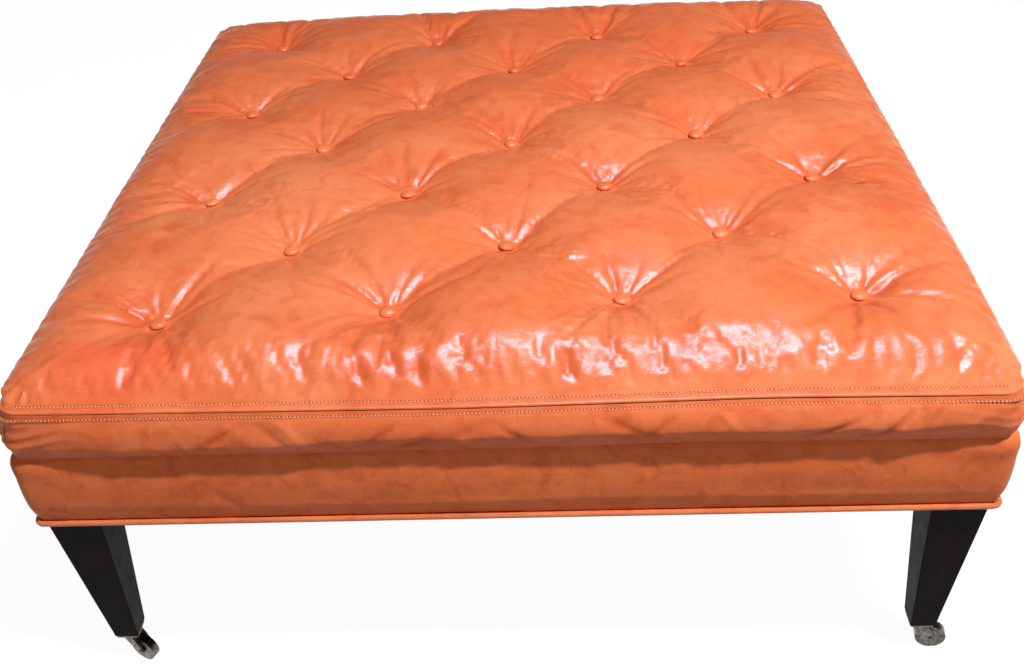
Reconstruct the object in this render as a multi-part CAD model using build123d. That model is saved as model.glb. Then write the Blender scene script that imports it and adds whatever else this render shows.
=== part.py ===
from build123d import *
from math import acos, cos, degrees, floor, hypot, pi, radians, sin, sqrt
import os

# Square tufted leather ottoman coffee table on four tapered legs with small
# swivel casters. Millimetres, +Z up, floor at zero, front towards -Y.
# The origin is on the floor under the middle of the table.

# Overall
base_width = 1060             # across the leather of the base, both ways
leather_thickness = 1.4
running_clearance = 0.3       # between soft faces that lie on each other
overrun = 5                   # how far a cutting tool passes its work

# Casters
caster_height = 48
caster_plate_width = 29.5
caster_plate_thickness = 3
caster_plate_chamfer = 3
wheel_radius = 18
wheel_width = 11
wheel_gap = 1.1               # beside the wheel, to each arm
axle_radius = 2.5
axle_fit = 0.05
caster_trail = 16
arm_thickness = 3
arm_end_radius = 5
arm_end_angles = (215, 20)    # where the arm's front and back edges meet its end
# Front and back edges of an arm, as shares of the trail and of its height
arm_front_shares = ((-0.32, 1), (-0.22, 0.62))
arm_back_shares = ((0.98, 0.60), (0.58, 1))
crown_length = 20
crown_chamfer = 4
crown_thickness = 3.2
swivel_gap = 0.4              # between the plate and the crown
kingpin_radius = 4
kingpin_fit = 0.06
kingpin_nut_radius = 6
kingpin_nut_thickness = 2
trail_angles = {              # where each wheel trails, in degrees from +X
    "front_left": -25, "front_right": -8, "rear_left": 155, "rear_right": 40}

# Legs
leg_length = 222
leg_top_width = 62
leg_bottom_width = 30
leg_edge_chamfer = 1.2
leg_inset = 3.5               # from the outside of the base's leather to the leg's top
leg_plate_margin = 3          # of the leg's top outside its plate
leg_plate_thickness = 2

# Base frame
rail_height = 102
rail_thickness = 20
corner_block_width = 84
corner_block_height = 70
cross_rail_thickness = 20
cross_rail_height = 60
cross_rail_spacing = 360

# Base cover
base_corner_radius = 9
padding_thickness = 5
welt_radius = 4
welt_overhang = 3.5           # of the welt beyond the base's leather
cord_sides = 16               # facets of the welt and of the piping
welt_lift = 3                 # of the welt's middle above the rails' underside
welt_gap = 0.4                # between the welt and the band above it
welt_tape_width = 22
dust_cover_thickness = 1
dust_cover_inset = 10         # from the outside of the base's leather
dust_cover_leg_gap = 1
band_top_gap = 0.4            # under the cushion's board

# Cushion
board_thickness = 12
boxing_height = 62            # from the frame to the seam with the top panel
boxing_bottom_gap = 0.8
boxing_bulge = 2.7            # of its curve, beyond a straight side
boxing_top_overhang = 1       # beyond the base's leather, at the seam
boxing_bands = 3              # flat bands that make up the curve
cushion_corner_radius = 14
piping_radius = 2.5
piping_overhang = 1           # of the piping's middle beyond the base's leather
piping_flange_width = 7
piping_gap = 0.1              # between the piping and each panel

# Tufted top
tuft_pitch = 130              # half the distance between buttons in one row
crease_height = 29.5          # of the middle button's crease above the seam
tuft_rise = 17                # of a pillow above its creases
tuft_crown = 10               # fall of the creases from the middle to a corner
panel_overhang = 0.5          # of the panel's edge beyond the base's leather
panel_lip = 3                 # upright edge of the panel over the piping
rows_out = 3                  # rows of buttons on each side of the middle one
# Border of the panel, from the outer buttons to the seam: how far out each
# rib lies, how high it is, and how much of its pleats has filled out there.
border_place_shares = (0, 0.30, 0.60, 0.82, 0.945, 1)
border_height_shares = (1, 0.96, 0.835, 0.60, 0.30, 0)
border_filled_shares = (0, 0.35, 0.62, 0.79, 0.90, 0.96)

# Buttons
button_radius = 10.5
button_height = 4.4
button_sides = 10             # facets of a button's edge
button_ring_shares = ((1, 0), (0.84, 0.6), (0.42, 1))   # of its radius and height
button_seat_gap = 0.15

# Levels, from the floor up
leg_top = caster_height + leg_length
rail_bottom = leg_top + leg_plate_thickness
frame_top = rail_bottom + rail_height
board_top = frame_top + board_thickness
seam_level = frame_top + boxing_height
panel_bottom = seam_level + piping_radius + piping_gap

# Half widths, from the middle out
base_half = base_width / 2
welt_half = base_half + welt_overhang - welt_radius
rail_half = base_half - leather_thickness - padding_thickness
rail_inner_half = rail_half - rail_thickness
leg_place = base_half - leg_inset - leg_top_width / 2
leg_plate_width = leg_top_width - 2 * leg_plate_margin
panel_half = base_half + panel_overhang
button_reach = rows_out * tuft_pitch
corner_reach = button_reach * sqrt(2)
vault_span = tuft_pitch * sqrt(2)
corners = {"front_left": (-1, -1), "front_right": (1, -1),
           "rear_left": (-1, 1), "rear_right": (1, 1)}


def block(low, high):
    """Box between two opposite corners."""
    size = [b - a for a, b in zip(low, high)]
    middle = [(a + b) / 2 for a, b in zip(low, high)]
    return Pos(*middle) * Box(*size)


def slab(half, radius, low, high):
    """Square plate with rounded corners, between two levels."""
    outline = RectangleRounded(2 * half, 2 * half, radius)
    return Pos(0, 0, low) * extrude(outline, amount=high - low)


def chamfered_square(width, cut):
    """Outline of a square with cut corners."""
    half = width / 2
    corner = [(half - cut, -half), (half, cut - half)]
    points = []
    for _ in range(4):
        points += corner
        corner = [(-y, x) for x, y in corner]
    return Polyline(*points, close=True)


def pin(radius, low, high):
    """Round bar on the Z axis between two levels."""
    return Pos(0, 0, (low + high) / 2) * Cylinder(radius, high - low)


def at_corners(shape, place):
    """Copies of a shape at the four corners."""
    return [Pos(sx * place, sy * place, 0) * shape for sx, sy in corners.values()]


# Tufted top: barrel vaults cross on the diagonals and meet in the creases
def crease(along):
    """Height of the crease that crosses the diagonal at a distance from the middle."""
    return seam_level + crease_height - tuft_crown * (along / corner_reach) ** 2


def vault_arc(start):
    """Ends and top of one vault's arc, in a plane along the diagonal."""
    end = start + vault_span
    levels = crease(start), crease(end)
    top = sum(levels) / 2 + tuft_rise
    return (start, levels[0]), ((start + end) / 2, top), (end, levels[1])


def circle_through(arc):
    """Centre and radius of the circle through three points."""
    (ax, az), (bx, bz), (cx, cz) = arc
    d = 2 * (ax * (bz - cz) + bx * (cz - az) + cx * (az - bz))
    a, b, c = ax ** 2 + az ** 2, bx ** 2 + bz ** 2, cx ** 2 + cz ** 2
    ux = (a * (bz - cz) + b * (cz - az) + c * (az - bz)) / d
    uz = (a * (cx - bx) + b * (ax - cx) + c * (bx - ax)) / d
    return ux, uz, hypot(ax - ux, az - uz)


def outer_row_arcs():
    """Ellipse arcs where the vaults are cut along the outer row of buttons."""
    arcs = []
    left = -button_reach
    while left < 0:
        right = min(left + 2 * tuft_pitch, 0)
        ux, uz, radius = circle_through(vault_arc((left - button_reach) / sqrt(2)))
        arcs.append((ux * sqrt(2) + button_reach, uz, radius * sqrt(2), radius, left, right))
        left = right
    return arcs + [(-x, z, rx, rz, -right, -left) for x, z, rx, rz, left, right in reversed(arcs)]


def level_on(arc, x):
    """Height of an ellipse arc at x."""
    middle, level, x_radius, z_radius = arc[:4]
    return level + z_radius * sqrt(1 - ((x - middle) / x_radius) ** 2)


def ellipse_edge(arc, drop):
    """Edge of an ellipse arc from left to right, in the XZ plane."""
    middle, level, x_radius, z_radius, left, right = arc
    start, end = [degrees(acos((x - middle) / x_radius)) for x in (left, right)]
    edge = EllipticalCenterArc((middle, level - drop), x_radius, z_radius, start,
                               arc_size=end - start)
    return Plane.XZ * edge


def diagonal_vaults(turn, drop, bottom):
    """Solid under a row of vaults that runs along a diagonal."""
    edges = []
    for bay in range(2 * rows_out):
        points = vault_arc(-corner_reach + vault_span * bay)
        edges.append(ThreePointArc(*[(s, 0, level - drop) for s, level in points]))
    end_level = crease(corner_reach) - drop
    ends = [(corner_reach, end_level), (corner_reach, bottom), (-corner_reach, bottom),
            (-corner_reach, end_level)]
    for (sa, za), (sb, zb) in zip(ends, ends[1:]):
        edges.append(Line((sa, 0, za), (sb, 0, zb)))
    face = Face(Wire(edges)).moved(Location((0, -corner_reach, 0)))
    return Solid.extrude(face, Vector(0, 2 * corner_reach, 0)).rotate(Axis.Z, turn)


def tufted_middle(drop, bottom):
    """Pillows inside the outer rows of buttons."""
    top = seam_level + crease_height + tuft_rise + overrun
    core = block((-button_reach, -button_reach, bottom), (button_reach, button_reach, top))
    return core & diagonal_vaults(45, drop, bottom) & diagonal_vaults(-45, drop, bottom)


def border_level(level, across, along, drop):
    """Height on the border, where the outer row has the height level."""
    lip = panel_bottom + panel_lip - drop
    crest = seam_level + crease_height + tuft_rise - tuft_crown / 2 - drop
    pleated = (1 - border_filled_shares[across]) * (1 - border_filled_shares[along])
    fade = border_height_shares[across] * border_height_shares[along]
    full = level - drop - lip + (1 - pleated) * (crest - (level - drop))
    return lip + full * fade


def border_place(step, half):
    """Distance of a border rib from the middle."""
    return button_reach + border_place_shares[step] * (half - button_reach)


def half_at(place, half, radius):
    """Half width of a rounded square at a distance from its middle line."""
    past = place - (half - radius)
    return half if past <= 0 else half - radius + sqrt(max(radius ** 2 - past ** 2, 0))


def corner_marks(step, half, radius, drop):
    """Points on one rib of the front border, from the outer button to the side seam."""
    reach = half_at(border_place(step, half), half, radius)
    fixed = border_place(2, half)
    button_level = crease(corner_reach)
    marks = []
    for other in range(len(border_place_shares)):
        place = border_place(other, half)
        if place > fixed:
            place = fixed + (place - fixed) * (reach - fixed) / (half - fixed)
        marks.append((place, border_level(button_level, other, step, drop)))
    return marks


def border_section(step, half, radius, drop, bottom, with_corners):
    """Closed section of the border at one rib, in the XZ plane."""
    edges = []
    reach = button_reach
    right = []
    if with_corners:
        marks = corner_marks(step, half, radius, drop)
        reach = marks[-1][0]
        right = list(zip(marks, marks[1:]))
    for (sa, za), (sb, zb) in reversed(right):
        edges.append(Line((-sb, 0, zb), (-sa, 0, za)))
    for arc in outer_row_arcs():
        left, end = arc[4:]
        points = [(x, 0, border_level(level_on(arc, x), 0, step, drop))
                  for x in (left, (left + end) / 2, end)]
        if step == 0:
            edges.append(ellipse_edge(arc, drop))
        elif border_height_shares[step] == 0:
            edges.append(Line(points[0], points[-1]))
        else:
            edges.append(ThreePointArc(*points))
    for (sa, za), (sb, zb) in right:
        edges.append(Line((sa, 0, za), (sb, 0, zb)))
    end_level = right[-1][1][1] if right else border_level(crease(corner_reach), 0, step, drop)
    ends = [(reach, end_level), (reach, bottom), (-reach, bottom), (-reach, end_level)]
    for (sa, za), (sb, zb) in zip(ends, ends[1:]):
        edges.append(Line((sa, 0, za), (sb, 0, zb)))
    return edges


def border(half, radius, drop, bottom, with_corners):
    """Border pillows and pleats on the front side, lofted from rib to rib."""
    wires = []
    for step in range(len(border_place_shares)):
        edges = border_section(step, half, radius, drop, bottom, with_corners)
        place = Location((0, -border_place(step, half), 0))
        wires.append(Wire([edge.moved(place) for edge in edges]))
    return Solid.make_loft(wires, ruled=True)


def tufted_form(half, radius, drop, bottom):
    """Whole form under the tufted top, lowered by drop."""
    front = border(half, radius, drop, bottom, True)
    side = border(half, radius, drop, bottom, False)
    form = tufted_middle(drop, bottom)
    form += front
    form += front.rotate(Axis.Z, 180)
    form += side.rotate(Axis.Z, 90)
    form += side.rotate(Axis.Z, -90)
    return form.solid()


def top_panel():
    inner_half = panel_half - leather_thickness
    inner_radius = cushion_corner_radius - leather_thickness
    outside = tufted_form(panel_half, cushion_corner_radius, 0, panel_bottom)
    inside = tufted_form(inner_half, inner_radius, leather_thickness, panel_bottom - overrun)
    return outside - inside


def foam_core():
    gap = leather_thickness + running_clearance
    pillow = tufted_form(panel_half - gap, cushion_corner_radius - gap, gap, panel_bottom)
    return pillow + slab(rail_half, cushion_corner_radius, board_top, panel_bottom)


def boxing_loft(inset):
    """Bulging sides of the cushion, moved in by inset."""
    low = frame_top + boxing_bottom_gap
    high = seam_level - piping_radius - piping_gap
    wires = []
    for band in range(boxing_bands + 1):
        share = band / boxing_bands
        bulge = 4 * boxing_bulge * share * (1 - share)
        half = base_half + boxing_top_overhang * share + bulge - inset
        outline = RectangleRounded(2 * half, 2 * half, cushion_corner_radius - inset)
        wires.append((Pos(0, 0, low + (high - low) * share) * outline).wire())
    return Solid.make_loft(wires, ruled=True)


def boxing_sides():
    skin = boxing_loft(0) - boxing_loft(leather_thickness)
    reach = base_half + boxing_bulge + boxing_top_overhang + overrun
    wedge = Polyline((0, 0), (reach, -reach), (-reach, -reach), close=True)
    wedge = extrude(make_face(wedge), amount=seam_level)
    turns = {"front": 0, "right": 90, "rear": 180, "left": 270}
    return {side: skin & wedge.rotate(Axis.Z, turn) for side, turn in turns.items()}


def fibre_wrap():
    inset = leather_thickness + running_clearance
    top = seam_level - leather_thickness / 2 - running_clearance
    hole = block((-rail_half, -rail_half, 0), (rail_half, rail_half, seam_level))
    band = block((-base_width, -base_width, 0), (base_width, base_width, top))
    return (boxing_loft(inset) & band) - hole


def corded_ring(half, radius, level, profile):
    """Cord with its flange, round the table at one level, with turned corners."""
    path = Pos(0, 0, level) * chamfered_square(2 * half, radius * (2 - sqrt(2)))
    path = path.wire()
    start, along = path @ 0, path % 0
    inward = Vector(0, 0, 1).cross(along)
    if inward.dot(start) > 0:
        inward = -inward
    plane = Plane(origin=start, x_dir=inward, z_dir=along)
    return sweep(plane * profile, path=path, transition=Transition.RIGHT)


def top_piping():
    flange = Pos(piping_flange_width / 2, 0) * Rectangle(piping_flange_width, leather_thickness)
    profile = RegularPolygon(piping_radius, cord_sides) + flange
    half = base_half + piping_overhang
    return corded_ring(half, cushion_corner_radius + piping_overhang, seam_level, profile)


def base_welt():
    level = rail_bottom + welt_lift
    outline = RegularPolygon(welt_radius, cord_sides)
    cord = corded_ring(welt_half, base_corner_radius, level, outline)
    length = 2 * (leg_place - leg_top_width / 2 - dust_cover_leg_gap)
    tape = block((-length / 2, -welt_half, rail_bottom - leather_thickness),
                 (length / 2, -welt_half + welt_tape_width, rail_bottom))
    for turn in range(4):
        cord += tape.rotate(Axis.Z, turn * 90)
    return cord


def vault_level(along):
    """Height of a row of vaults at a distance along the diagonal."""
    bay = min(floor((along + corner_reach) / vault_span), 2 * rows_out - 1)
    ux, uz, radius = circle_through(vault_arc(-corner_reach + vault_span * bay))
    return uz + sqrt(radius ** 2 - (along - ux) ** 2)


def button_level(x, y):
    """Height where a button's edge first meets the pillows round it."""
    levels = []
    for side in range(2 * button_sides):
        angle = pi * side / button_sides
        edge_x = x + button_radius * cos(angle)
        edge_y = y + button_radius * sin(angle)
        u, v = (edge_x + edge_y) / sqrt(2), (edge_x - edge_y) / sqrt(2)
        if max(abs(u), abs(v)) < corner_reach:
            levels.append(min(vault_level(u), vault_level(v)))
    return max(levels) + button_seat_gap


def buttons():
    """Covered domes seated on the pillows where the creases cross."""
    rings = []
    for radius_share, height_share in button_ring_shares:
        outline = RegularPolygon(button_radius * radius_share, button_sides)
        rings.append((Pos(0, 0, button_height * height_share) * outline).wire())
    dome = Solid.make_loft(rings, ruled=True)
    placed = []
    for row in range(-rows_out, rows_out + 1):
        for column in range(-rows_out, rows_out + 1):
            if (row + column) % 2 == 0:
                x, y = column * tuft_pitch, row * tuft_pitch
                placed.append(Pos(x, y, button_level(x, y)) * dome)
    return placed


# Base
def frame_rails():
    long_rail = block((-rail_half, -rail_half, rail_bottom),
                      (rail_half, -rail_inner_half, frame_top))
    short_rail = block((-rail_half, -rail_inner_half, rail_bottom),
                       (-rail_inner_half, rail_inner_half, frame_top))
    return {"rail_front": long_rail, "rail_rear": long_rail.rotate(Axis.Z, 180),
            "rail_left": short_rail, "rail_right": short_rail.rotate(Axis.Z, 180)}


def corner_block(sx, sy):
    """Three-sided glue block in a corner of the frame."""
    outer = rail_inner_half
    inner = outer - corner_block_width
    outline = Polyline((sx * outer, sy * outer), (sx * inner, sy * outer),
                       (sx * outer, sy * inner), close=True)
    prism = extrude(make_face(outline), amount=corner_block_height, dir=(0, 0, 1))
    return Pos(0, 0, rail_bottom) * prism


def cross_rail(side):
    middle = side * cross_rail_spacing / 2
    half = cross_rail_thickness / 2
    return block((middle - half, -rail_inner_half, frame_top - cross_rail_height),
                 (middle + half, rail_inner_half, frame_top))


def tuft_board():
    return block((-rail_half, -rail_half, frame_top), (rail_half, rail_half, board_top))


def base_band():
    low = rail_bottom + welt_lift + welt_radius + welt_gap
    outer = slab(base_half, base_corner_radius, low, frame_top - band_top_gap)
    inner = slab(base_half - leather_thickness, base_corner_radius - leather_thickness,
                 low - overrun, frame_top)
    return outer - inner


def base_padding():
    low = rail_bottom + welt_lift + welt_radius + welt_gap
    inset = leather_thickness
    outer = slab(base_half - inset, base_corner_radius - inset, low, frame_top - band_top_gap)
    return outer - block((-rail_half, -rail_half, 0), (rail_half, rail_half, frame_top))


def dust_cover():
    top = rail_bottom - leather_thickness
    half = base_half - dust_cover_inset
    sheet = block((-half, -half, top - dust_cover_thickness), (half, half, top))
    near = leg_place - leg_top_width / 2 - dust_cover_leg_gap
    far = base_half + overrun
    notch = block((near, near, 0), (far, far, rail_bottom))
    for turn in range(4):
        sheet -= notch.rotate(Axis.Z, turn * 90)
    return sheet


# Legs
def leg(sx, sy):
    """Square leg that tapers on all four sides."""
    top, bottom = leg_top_width / 2, leg_bottom_width / 2
    outline = make_face(Plane.XZ * Polyline((-top, leg_top), (top, leg_top),
                                            (bottom, caster_height), (-bottom, caster_height),
                                            close=True))
    front = extrude(outline, amount=top, both=True)
    shaft = front & front.rotate(Axis.Z, 90)
    corner_edges = [edge for edge in shaft.edges() if edge.length > leg_length]
    return Pos(sx * leg_place, sy * leg_place, 0) * chamfer(corner_edges, leg_edge_chamfer)


def leg_plates():
    half = leg_plate_width / 2
    return at_corners(block((-half, -half, leg_top), (half, half, rail_bottom)), leg_place)


# Casters, each modelled with its kingpin on the Z axis and its wheel behind on +X
plate_bottom = caster_height - caster_plate_thickness
crown_top = plate_bottom - swivel_gap
crown_bottom = crown_top - crown_thickness
arm_inside = wheel_width / 2 + wheel_gap


def caster_plates():
    outline = make_face(chamfered_square(caster_plate_width, caster_plate_chamfer))
    plate = Pos(0, 0, plate_bottom) * extrude(outline, amount=caster_plate_thickness,
                                              dir=(0, 0, 1))
    return at_corners(plate, leg_place)


def caster_kingpins():
    nut_top = crown_bottom - swivel_gap
    stem = pin(kingpin_radius, nut_top - kingpin_nut_thickness, plate_bottom)
    nut = extrude(RegularPolygon(kingpin_nut_radius, 6), amount=kingpin_nut_thickness)
    nut = Pos(0, 0, nut_top - kingpin_nut_thickness) * nut
    return at_corners((stem + nut).solid(), leg_place)


def arm_outline():
    """Side view of an arm, from the crown down round the axle and back up."""
    drop = crown_bottom - wheel_radius
    front = [(x * caster_trail, wheel_radius + z * drop) for x, z in arm_front_shares]
    back = [(x * caster_trail, wheel_radius + z * drop) for x, z in arm_back_shares]
    first, last = arm_end_angles
    middle = (first + last + 360) / 2
    end = [(caster_trail + arm_end_radius * cos(radians(angle)),
            wheel_radius + arm_end_radius * sin(radians(angle)))
           for angle in (first, middle, last)]
    lines = [*zip(front + end[:1], front[1:] + end[:1])][:len(front)]
    lines += [(end[-1], back[0]), (back[0], back[1]), (back[1], front[0])]
    return [Line(a, b) for a, b in lines] + [ThreePointArc(*end)]


def caster_fork():
    """Flat crown under the plate, with a bent arm on each side of the wheel."""
    side = arm_inside + arm_thickness
    arm = Plane.XZ * make_face(Wire(arm_outline()))
    arm = extrude(arm, amount=arm_thickness, dir=(0, 1, 0))
    half = crown_length / 2
    outline = Polyline((half, -side), (half, side), (crown_chamfer - half, side),
                       (-half, side - crown_chamfer), (-half, crown_chamfer - side),
                       (crown_chamfer - half, -side), close=True)
    crown = extrude(make_face(outline), amount=crown_thickness, dir=(0, 0, 1))
    fork = Pos(0, 0, crown_bottom) * crown - pin(kingpin_radius + kingpin_fit, 0, caster_height)
    return fork + Pos(0, arm_inside, 0) * arm + Pos(0, -side, 0) * arm


def caster_axle():
    """Pin riveted between the arms."""
    rod = Cylinder(axle_radius, 2 * arm_inside)
    return Pos(caster_trail, 0, wheel_radius) * Rotation(90, 0, 0) * rod


def caster_wheel():
    wheel = Cylinder(wheel_radius, wheel_width) - Cylinder(axle_radius + axle_fit, caster_height)
    return Pos(caster_trail, 0, wheel_radius) * Rotation(90, 0, 0) * wheel


def placed_caster(shape, name):
    sx, sy = corners[name]
    return Pos(sx * leg_place, sy * leg_place, 0) * shape.rotate(Axis.Z, trail_angles[name])


def all_parts():
    parts = {"top_panel": top_panel(), "foam_core": foam_core(), "fibre_wrap": fibre_wrap(),
             "tuft_board": tuft_board(), "top_piping": top_piping(), "buttons": buttons(),
             "base_band": base_band(), "base_padding": base_padding(),
             "base_welt": base_welt(), "dust_cover": dust_cover(),
             "cross_rail_left": cross_rail(-1), "cross_rail_right": cross_rail(1),
             "leg_plates": leg_plates(),
             "caster_plates": caster_plates(), "caster_kingpins": caster_kingpins()}
    for side, panel in boxing_sides().items():
        parts["boxing_" + side] = panel
    parts.update(frame_rails())
    fork, axle, wheel = caster_fork(), caster_axle(), caster_wheel()
    for name, (sx, sy) in corners.items():
        parts["corner_block_" + name] = corner_block(sx, sy)
        parts["leg_" + name] = leg(sx, sy)
        parts["caster_fork_" + name] = placed_caster(fork, name)
        parts["caster_axle_" + name] = placed_caster(axle, name)
        parts["caster_wheel_" + name] = placed_caster(wheel, name)
    return parts


os.makedirs("parts", exist_ok=True)
for node, shape in all_parts().items():
    solids = shape if isinstance(shape, list) else shape.solids()
    export_step(Compound(children=[Solid(s.solid().wrapped) for s in solids]),
                os.path.join("parts", node + ".step"))
    print(node, len(solids))
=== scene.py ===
import math
import random

import bpy
import numpy as np
from mathutils import Matrix, Vector


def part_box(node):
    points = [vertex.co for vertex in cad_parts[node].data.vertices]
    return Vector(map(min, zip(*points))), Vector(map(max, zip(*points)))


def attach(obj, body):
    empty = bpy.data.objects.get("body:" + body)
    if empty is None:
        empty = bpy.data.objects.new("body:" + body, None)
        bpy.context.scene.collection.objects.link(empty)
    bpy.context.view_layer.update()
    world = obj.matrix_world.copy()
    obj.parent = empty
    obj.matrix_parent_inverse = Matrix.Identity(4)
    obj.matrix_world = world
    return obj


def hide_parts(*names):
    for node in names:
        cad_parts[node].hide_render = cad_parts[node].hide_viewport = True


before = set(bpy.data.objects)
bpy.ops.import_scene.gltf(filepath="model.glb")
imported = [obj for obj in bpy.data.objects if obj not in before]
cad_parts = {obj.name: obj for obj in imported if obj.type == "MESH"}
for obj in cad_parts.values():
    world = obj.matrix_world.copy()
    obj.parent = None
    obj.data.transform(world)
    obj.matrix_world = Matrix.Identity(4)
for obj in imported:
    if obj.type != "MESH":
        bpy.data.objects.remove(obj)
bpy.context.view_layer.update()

# Square tufted leather ottoman coffee table. Metres, +Z up, front towards -Y.

corners = ("front_left", "front_right", "rear_left", "rear_right")

pipingLow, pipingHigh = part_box("top_piping")
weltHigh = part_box("base_welt")[1]
bandLow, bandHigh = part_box("base_band")
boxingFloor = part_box("boxing_front")[0].z
seamLevel = (pipingLow.z + pipingHigh.z) / 2
pipingRadius = (pipingHigh.z - pipingLow.z) / 2
pipingHalf = pipingHigh.x - pipingRadius


# Helpers for the pieces

def deselectAll():
    if bpy.context.object and bpy.context.object.mode != "OBJECT":
        bpy.ops.object.mode_set(mode="OBJECT")
    bpy.ops.object.select_all(action="DESELECT")


def activate(piece):
    deselectAll()
    bpy.context.view_layer.objects.active = piece
    piece.select_set(True)


def applyAll(piece):
    activate(piece)
    for modifier in list(piece.modifiers):
        bpy.ops.object.modifier_apply(modifier=modifier.name)


def readPoints(piece):
    points = np.empty(len(piece.data.vertices) * 3)
    piece.data.vertices.foreach_get("co", points)
    return points.reshape(-1, 3)


def writePoints(piece, points):
    piece.data.vertices.foreach_set("co", points.ravel())
    piece.data.update()


def faceOutwards(piece):
    activate(piece)
    bpy.ops.object.mode_set(mode="EDIT")
    bpy.ops.mesh.select_all(action="SELECT")
    bpy.ops.mesh.remove_doubles(threshold=0.00001)
    bpy.ops.mesh.normals_make_consistent(inside=False)
    bpy.ops.object.mode_set(mode="OBJECT")


def smoothShade(piece, angle=35):
    activate(piece)
    bpy.ops.object.shade_smooth_by_angle(angle=math.radians(angle))


def pieceFrom(name, verts, faces):
    mesh = bpy.data.meshes.new(name)
    mesh.from_pydata(verts, [], faces)
    piece = bpy.data.objects.new(name, mesh)
    bpy.context.scene.collection.objects.link(piece)
    return piece


def thicken(piece, thickness):
    # the wall grows inwards from the surface
    wall = piece.modifiers.new("Thickness", "SOLIDIFY")
    wall.thickness, wall.offset = thickness, -1
    applyAll(piece)


def markFoldWearAndShade(piece, values):
    # 0 in the hollow of a fold, 1 on its ridge: the hollows get painted shade, the ridges are paler as wear
    # and painted light
    foldWearAndShade = piece.data.attributes.new("fold", "FLOAT", "POINT")
    foldWearAndShade.data.foreach_set("value", np.clip(values, 0, 1).astype(np.float32))


def dress(piece, material, body, replaced=()):
    if "fold" not in piece.data.attributes:
        markFoldWearAndShade(piece, np.full(len(piece.data.vertices), 0.5))
    piece.data.materials.clear()
    piece.data.materials.append(material)
    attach(piece, body)
    if replaced:
        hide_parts(*replaced)


def joinPieces(pieces, name):
    deselectAll()
    for piece in pieces:
        piece.select_set(True)
    bpy.context.view_layer.objects.active = pieces[0]
    bpy.ops.object.join()
    pieces[0].name = name
    return pieces[0]


def softNoise(x, y, size, seed):
    # smooth waves at a few headings, for slow unevenness
    source = random.Random(seed)
    total = np.zeros_like(x)
    for _ in range(7):
        heading = source.uniform(0, 2 * math.pi)
        length = size * source.uniform(0.7, 1.6)
        phase = source.uniform(0, 2 * math.pi)
        total += np.sin((x * math.cos(heading) + y * math.sin(heading)) * 2 * math.pi / length + phase)
    return total / 7


def crease(dx, dy, lean, width, length):
    # a short oval ridge that leans to one side
    size = math.hypot(1, lean)
    along, across = (dx * lean + dy) / size, (dx - dy * lean) / size
    return np.exp(-(across / width) ** 2 - (along / length) ** 2)


# Materials

def addNode(tree, kind, **settings):
    node = tree.nodes.new(kind)
    for name, value in settings.items():
        if name.startswith("in_"):
            key = name[3:]
            node.inputs[int(key) if key.isdigit() else key.replace("_", " ")].default_value = value
        else:
            setattr(node, name, value)
    return node


def startMaterial(name):
    material = bpy.data.materials.new(name)
    material.use_nodes = True
    tree = material.node_tree
    tree.nodes.clear()
    output = tree.nodes.new("ShaderNodeOutputMaterial")
    shader = tree.nodes.new("ShaderNodeBsdfPrincipled")
    tree.links.new(shader.outputs[0], output.inputs[0])
    place = tree.nodes.new("ShaderNodeTexCoord").outputs["Object"]
    return material, tree, shader, place


def noiseOn(tree, place, scale, detail=4, roughness=0.55, distortion=0):
    node = addNode(tree, "ShaderNodeTexNoise", in_Scale=scale, in_Detail=detail,
                   in_Roughness=roughness, in_Distortion=distortion)
    tree.links.new(place, node.inputs["Vector"])
    return node.outputs["Fac"]


def rampOn(tree, value, stops):
    node = tree.nodes.new("ShaderNodeValToRGB")
    ramp = node.color_ramp
    while len(ramp.elements) < len(stops):
        ramp.elements.new(0.5)
    for element, (position, shade) in zip(ramp.elements, stops):
        element.position = position
        element.color = (shade, shade, shade, 1) if isinstance(shade, (int, float)) else (*shade, 1)
    tree.links.new(value, node.inputs["Fac"])
    return node.outputs["Color"]


def feed(tree, value, socket):
    if hasattr(value, "links"):
        tree.links.new(value, socket)
    else:
        socket.default_value = (*value, 1) if isinstance(value, tuple) else value


def mixOn(tree, kind, factor, first, second):
    node = addNode(tree, "ShaderNodeMix", data_type="RGBA", blend_type=kind)
    for key, value in ((0, factor), (6, first), (7, second)):
        feed(tree, value, node.inputs[key])
    return node.outputs[2]


def mathOn(tree, operation, first, second):
    node = addNode(tree, "ShaderNodeMath", operation=operation)
    feed(tree, first, node.inputs[0])
    feed(tree, second, node.inputs[1])
    return node.outputs[0]


def mapOn(tree, place, scale, shift=(0, 0, 0), turn=0):
    node = addNode(tree, "ShaderNodeMapping", in_1=shift, in_2=(0, 0, turn), in_3=scale)
    tree.links.new(place, node.inputs["Vector"])
    return node.outputs[0]


def bumpOn(tree, height, strength, distance, below=None):
    node = addNode(tree, "ShaderNodeBump", in_Strength=strength, in_Distance=distance)
    tree.links.new(height, node.inputs["Height"])
    if below:
        tree.links.new(below, node.inputs["Normal"])
    return node.outputs["Normal"]


leatherTones = {
    "cushion_leather": {
        "plain": (0.79, 0.170, 0.054), "pale": (0.89, 0.262, 0.110), "deep": (0.66, 0.098, 0.025),
        "roughness": (0.27, 0.37), "patch": 0.55, "specular": 0.45},
    "boxing_leather": {
        "plain": (0.76, 0.152, 0.046), "pale": (0.86, 0.225, 0.088), "deep": (0.60, 0.088, 0.023),
        "roughness": (0.42, 0.55), "patch": 0.55, "specular": 0.13},
    # the base's plain tone is paler than the top's, as painted light that brightens the walls
    "base_leather": {
        "plain": (0.84, 0.176, 0.052), "pale": (0.92, 0.235, 0.078), "deep": (0.55, 0.08, 0.022),
        "roughness": (0.42, 0.55), "patch": 0.5, "specular": 0.13},
    "welt_leather": {
        "plain": (0.66, 0.165, 0.062), "pale": (0.76, 0.235, 0.105), "deep": (0.50, 0.095, 0.03),
        "roughness": (0.32, 0.45), "patch": 0.4, "specular": 0.3},
}
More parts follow.
